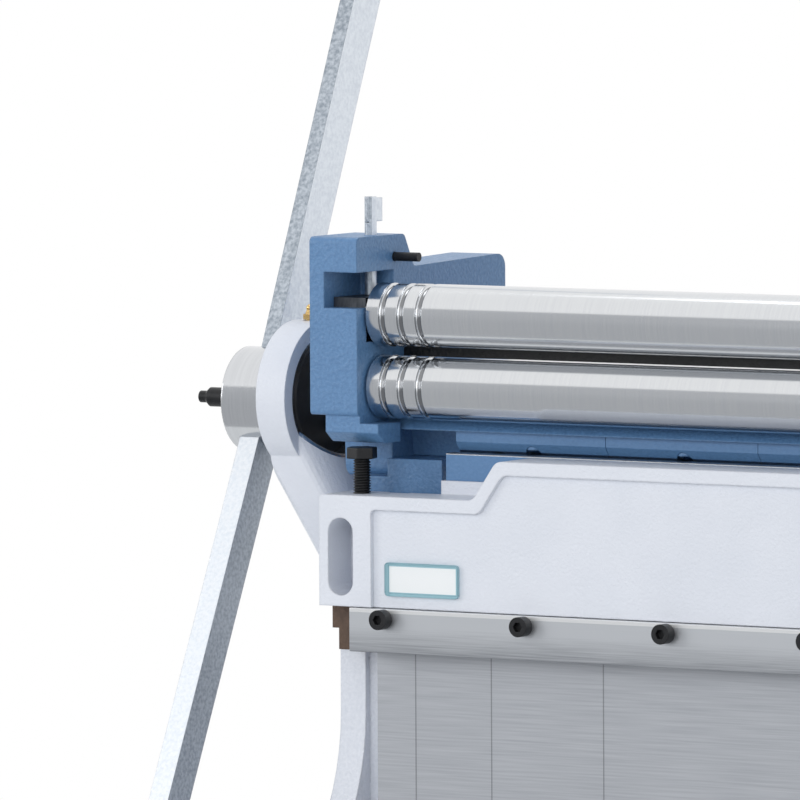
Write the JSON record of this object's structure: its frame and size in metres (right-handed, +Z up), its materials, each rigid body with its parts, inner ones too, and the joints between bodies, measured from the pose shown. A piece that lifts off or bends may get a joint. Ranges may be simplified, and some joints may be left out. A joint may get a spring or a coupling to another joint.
{
  "type": "combination sheet metal machine",
  "caption": "Hand-lever machine that shears, folds and rolls sheet metal: eccentric-driven ram with blade and V die, fixed punch beam and slip rolls on two cast legs.",
  "frame": {"origin": "centre of the four foot bolt holes on the floor, under the lever shaft", "axes": "+X along the machine to the crank end, -Y to the front with the ram and blade, +Z up"},
  "size_m": [1.515, 0.53, 1.1335],
  "materials": {
    "white_paint": "semi-gloss textured machine enamel on cast iron",
    "blue_paint": "fine hammered blue machine enamel on cast iron",
    "ground_cast_iron": "machined and ground face",
    "ground_steel": "surface ground",
    "polished_steel": "turned and polished",
    "zinc_plate": "bright zinc plate on drawn bar",
    "black_oxide": "black oxide, oiled",
    "bronze": "turned bronze",
    "brass": "bright brass",
    "black_plastic": "moulded, satin"
  },
  "bodies": {
    "frame": {"left_leg": "white_paint", "right_leg": "white_paint", "bed": "ground_cast_iron", "lower_blade": "ground_steel", "lower_blade_screws": "black_oxide", "bed_bolts": "black_oxide", "left_roll_stand": "blue_paint", "right_roll_stand": "blue_paint", "head_beam": "blue_paint", "brake_punches": "ground_steel", "punch_clamp_screws": "black_oxide", "head_bolts": "black_oxide", "stand_bolts": "black_oxide", "shaft_bushes": "bronze", "lower_roll_bushes": "bronze", "guide_keys": "ground_steel"},
    "lever_set": {"lever_shaft": "ground_steel", "left_eccentric": "black_oxide", "right_eccentric": "black_oxide", "left_hub": "polished_steel", "right_hub": "polished_steel", "left_upper_lever": "zinc_plate", "right_upper_lever": "zinc_plate", "left_lower_lever": "zinc_plate", "right_lower_lever": "zinc_plate", "hub_end_bolts": "black_oxide"},
    "straps": {"left_strap": "white_paint", "right_strap": "white_paint", "grease_nipples": "brass"},
    "ram": {"ram": "white_paint", "ram_pins": "ground_steel", "upper_blade": "ground_steel", "upper_blade_screws": "black_oxide", "vee_die": "ground_steel", "vee_die_screws": "black_oxide"},
    "left_stop": {"left_stop_screw": "black_oxide"},
    "right_stop": {"right_stop_screw": "black_oxide"},
    "upper_blocks": {"upper_roll_blocks": "bronze"},
    "upper_roll": {"upper_roll": "polished_steel", "upper_roll_gear": "ground_steel", "crank_arm": "black_oxide"},
    "crank_grip": {"crank_grip": "black_plastic"},
    "lower_roll": {"lower_roll": "polished_steel", "lower_roll_gear": "ground_steel"},
    "rear_blocks": {"rear_roll_blocks": "bronze"},
    "rear_roll": {"rear_roll": "polished_steel"},
    "left_adjuster": {"left_rear_adjuster": "black_oxide"},
    "right_adjuster": {"right_rear_adjuster": "black_oxide"},
    "left_clamp": {"left_clamp_screw": "zinc_plate"},
    "right_clamp": {"right_clamp_screw": "zinc_plate"},
    "left_pin": {"left_lock_pin": "black_oxide"},
    "right_pin": {"right_lock_pin": "black_oxide"}
  },
  "joints": [
    {"name": "lever_swing", "type": "hinge", "parent": "frame", "child": "lever_set", "pos_m": [0, 0, 0.56], "axis": [1, 0, 0], "range_deg": [-9, 44]},
    {"name": "strap_swing", "type": "hinge", "parent": "lever_set", "child": "straps", "pos_m": [0, -0.01526, 0.56481], "axis": [1, 0, 0], "range_deg": [-46, 11]},
    {"name": "ram_slide", "type": "slide", "parent": "frame", "child": "ram", "axis": [0, 0, 1], "range_m": [-0.0122, 0.0026]},
    {"name": "left_stop_set", "type": "slide", "parent": "ram", "child": "left_stop", "axis": [0, 0, 1], "range_m": [-0.008, 0]},
    {"name": "right_stop_set", "type": "slide", "parent": "ram", "child": "right_stop", "axis": [0, 0, 1], "range_m": [-0.008, 0]},
    {"name": "upper_roll_lift", "type": "slide", "parent": "frame", "child": "upper_blocks", "axis": [0, 0, 1], "range_m": [-0.005, 0]},
    {"name": "upper_roll_spin", "type": "hinge", "parent": "upper_blocks", "child": "upper_roll", "pos_m": [0, -0.06, 0.6235], "axis": [1, 0, 0], "continuous": true},
    {"name": "crank_grip_spin", "type": "hinge", "parent": "upper_roll", "child": "crank_grip", "pos_m": [0.759, -0.06, 0.4635], "axis": [1, 0, 0], "continuous": true},
    {"name": "lower_roll_spin", "type": "hinge", "parent": "frame", "child": "lower_roll", "pos_m": [0, -0.06, 0.576], "axis": [1, 0, 0], "continuous": true},
    {"name": "rear_roll_lift", "type": "slide", "parent": "frame", "child": "rear_blocks", "axis": [0, 0, 1], "range_m": [0, 0.02]},
    {"name": "rear_roll_spin", "type": "hinge", "parent": "rear_blocks", "child": "rear_roll", "pos_m": [0, 0.07, 0.578], "axis": [1, 0, 0], "continuous": true},
    {"name": "left_adjuster_turn", "type": "hinge", "parent": "frame", "child": "left_adjuster", "pos_m": [-0.5225, 0.07, 0.56], "axis": [0, 0, 1], "continuous": true},
    {"name": "left_clamp_turn", "type": "hinge", "parent": "frame", "child": "left_clamp", "pos_m": [-0.5225, -0.051, 0.672], "axis": [0, 0, 1], "continuous": true},
    {"name": "left_pin_pull", "type": "slide", "parent": "frame", "child": "left_pin", "axis": [1, 0, 0], "range_m": [0, 0.011]},
    {"name": "right_adjuster_turn", "type": "hinge", "parent": "frame", "child": "right_adjuster", "pos_m": [0.5225, 0.07, 0.56], "axis": [0, 0, 1], "continuous": true},
    {"name": "right_clamp_turn", "type": "hinge", "parent": "frame", "child": "right_clamp", "pos_m": [0.5225, -0.051, 0.672], "axis": [0, 0, 1], "continuous": true},
    {"name": "right_pin_pull", "type": "slide", "parent": "frame", "child": "right_pin", "axis": [-1, 0, 0], "range_m": [0, 0.011]}
  ],
  "couplings": [
    {"joint": "strap_swing", "follows": "lever_swing", "ratio": -1},
    {"joint": "ram_slide", "follows": "lever_swing", "m_per_rad": -0.01545},
    {"joint": "lower_roll_spin", "follows": "upper_roll_spin", "ratio": -1}
  ]
}
